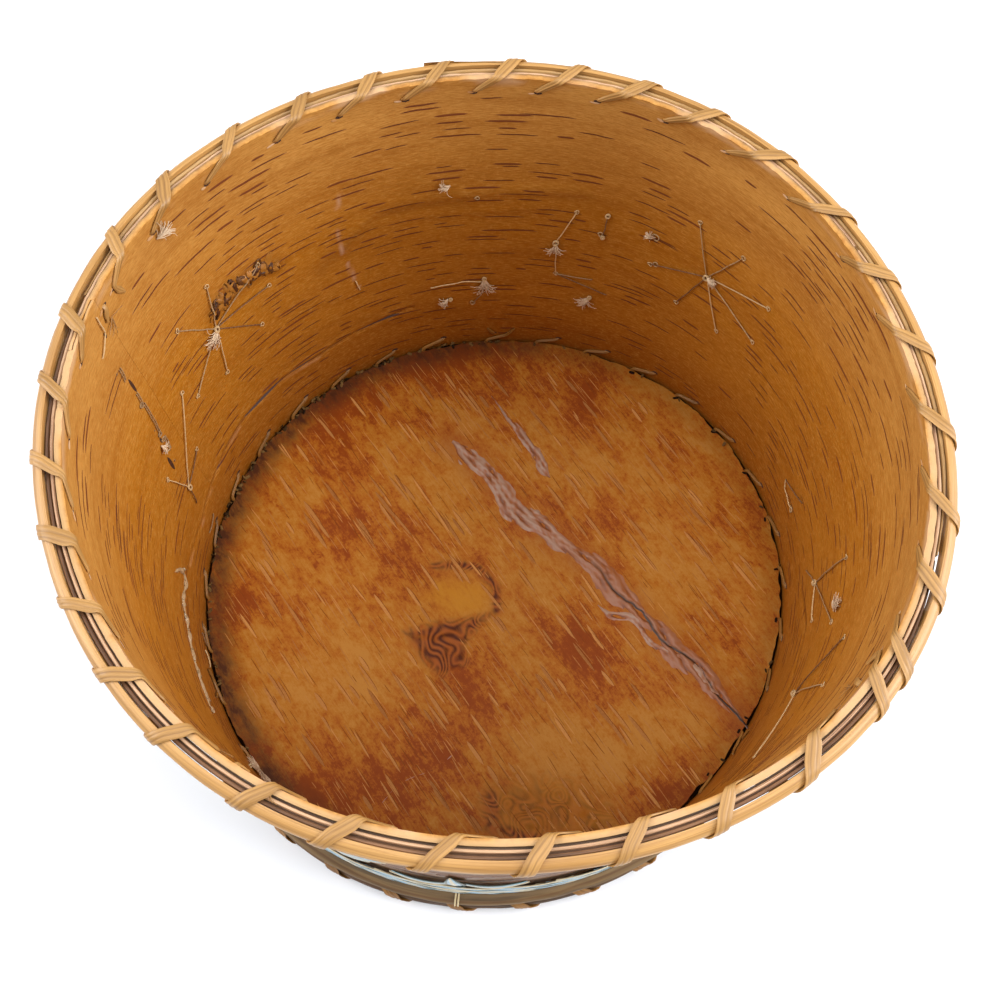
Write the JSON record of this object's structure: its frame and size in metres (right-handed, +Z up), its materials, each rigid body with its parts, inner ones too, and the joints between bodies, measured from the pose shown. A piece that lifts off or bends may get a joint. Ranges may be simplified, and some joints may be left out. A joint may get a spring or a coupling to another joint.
{
  "type": "birch bark box",
  "caption": "Round open box of bent birch bark with root-lashed willow hoops at rim and foot, a bark bottom and quill flowers.",
  "frame": {"origin": "centre of the box's footprint on the surface it stands on, midway between the rim's extremes", "axes": "+Z up out of the open mouth; +Y towards the far side as pictured, where the rim hoop's scarf lies; +X to its right"},
  "size_m": [0.2453, 0.2383, 0.137],
  "materials": {
    "inner_bark": "smooth golden brown inner face of birch bark with dark pore dashes, satin",
    "disc_bark": "mottled red-brown birch bark with pale dashes and knots, matte",
    "layered_bark": "cut edge of bark in thin pinkish layers, matte",
    "splint_wood": "split willow, pale straw, satin",
    "hoop_wood": "peeled half-round willow, yellow straw, satin",
    "old_hoop_wood": "dark half-round willow, worn, satin",
    "pale_hoop_wood": "grey-brown half-round willow, worn, satin",
    "root": "split root with fine lengthwise fibres, satin",
    "old_root": "darker split root with fine lengthwise fibres, satin",
    "sinew": "translucent sinew",
    "quill": "flattened quill, pale blue, dark green and cream, glossy",
    "thread": "twisted sewing thread, matte"
  },
  "bodies": {
    "root": {"wall_sheet": "inner_bark", "bottom_disc": "disc_bark", "rim_band": "layered_bark", "rim_splint_far": "splint_wood", "rim_splint_near": "splint_wood", "rim_hoop": "hoop_wood", "rim_lashing_1": "root", "rim_lashing_2": "root", "rim_lashing_3": "root", "base_hoop_lower": "old_hoop_wood", "base_hoop_upper": "pale_hoop_wood", "base_lashing_1": "old_root", "base_lashing_2": "old_root", "base_lashing_3": "old_root", "hoop_tie_1": "sinew", "hoop_tie_2": "sinew", "hoop_tie_3": "sinew", "seam_stitch": "thread", "quill_band": "quill", "quill_flower_1": "quill", "quill_flower_2": "quill", "quill_flower_3": "quill", "quill_flower_4": "quill", "quill_sprig_1": "quill", "quill_sprig_2": "quill", "quill_sprig_3": "quill", "quill_sprig_4": "quill", "thread_star_1": "thread", "thread_star_2": "thread", "thread_star_3": "thread", "thread_spray_1": "thread", "thread_spray_2": "thread", "thread_spray_3": "thread"}
  },
  "joints": []
}
